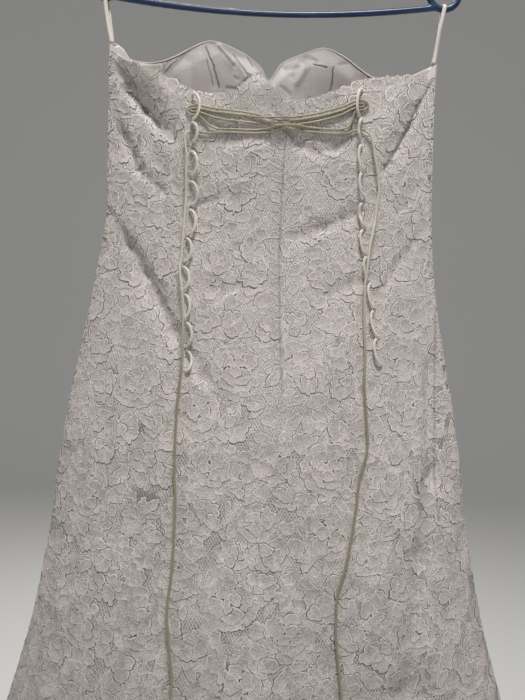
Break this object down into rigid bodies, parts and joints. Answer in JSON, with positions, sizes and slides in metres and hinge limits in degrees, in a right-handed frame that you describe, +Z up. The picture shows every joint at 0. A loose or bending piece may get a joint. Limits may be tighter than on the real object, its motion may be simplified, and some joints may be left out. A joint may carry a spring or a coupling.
{
  "type": "lace wedding dress on hanger",
  "caption": "Strapless floor-length lace dress with satin-lined cups and a laced open back, hung by ribbon loops from a notched tubular plastic hanger.",
  "frame": {"origin": "inside top of the hanger's hook, where it rests on a rail", "axes": "+Z up, -Y towards the viewer of the dress's back, +X to the right in that view"},
  "size_m": [0.8127, 0.3869, 1.4675],
  "materials": {
    "ivory_lace": "matte corded lace on net",
    "ivory_satin": "satin sheen",
    "ivory_cord": "satin rouleau",
    "ivory_ribbon": "satin ribbon",
    "navy_plastic": "glossy"
  },
  "bodies": {
    "root": {"hanger": "navy_plastic", "hanger_loop_left": "ivory_ribbon", "hanger_loop_right": "ivory_ribbon", "lace_back_side_left": "ivory_lace", "lace_back_centre_left": "ivory_lace", "lace_back_centre_right": "ivory_lace", "lace_back_side_right": "ivory_lace", "lace_front_side_left": "ivory_lace", "lace_front_centre": "ivory_lace", "lace_front_side_right": "ivory_lace", "satin_back_left": "ivory_satin", "satin_back_right": "ivory_satin", "satin_front_side_left": "ivory_satin", "satin_front": "ivory_satin", "satin_front_side_right": "ivory_satin", "satin_cup_left": "ivory_satin", "satin_cup_right": "ivory_satin", "lacing_loop_left_01": "ivory_cord", "lacing_loop_left_02": "ivory_cord", "lacing_loop_left_03": "ivory_cord", "lacing_loop_left_04": "ivory_cord", "lacing_loop_left_05": "ivory_cord", "lacing_loop_left_06": "ivory_cord", "lacing_loop_left_07": "ivory_cord", "lacing_loop_left_08": "ivory_cord", "lacing_loop_left_09": "ivory_cord", "lacing_loop_left_10": "ivory_cord", "lacing_loop_right_01": "ivory_cord", "lacing_loop_right_02": "ivory_cord", "lacing_loop_right_03": "ivory_cord", "lacing_loop_right_04": "ivory_cord", "lacing_loop_right_05": "ivory_cord", "lacing_loop_right_06": "ivory_cord", "lacing_loop_right_07": "ivory_cord", "lacing_loop_right_08": "ivory_cord", "lacing_loop_right_09": "ivory_cord", "lacing_loop_right_10": "ivory_cord", "lacing_cord": "ivory_cord", "lacing_tail_left": "ivory_cord", "lacing_tail_right": "ivory_cord", "lacing_knot_left": "ivory_cord", "lacing_knot_right": "ivory_cord"}
  },
  "joints": []
}
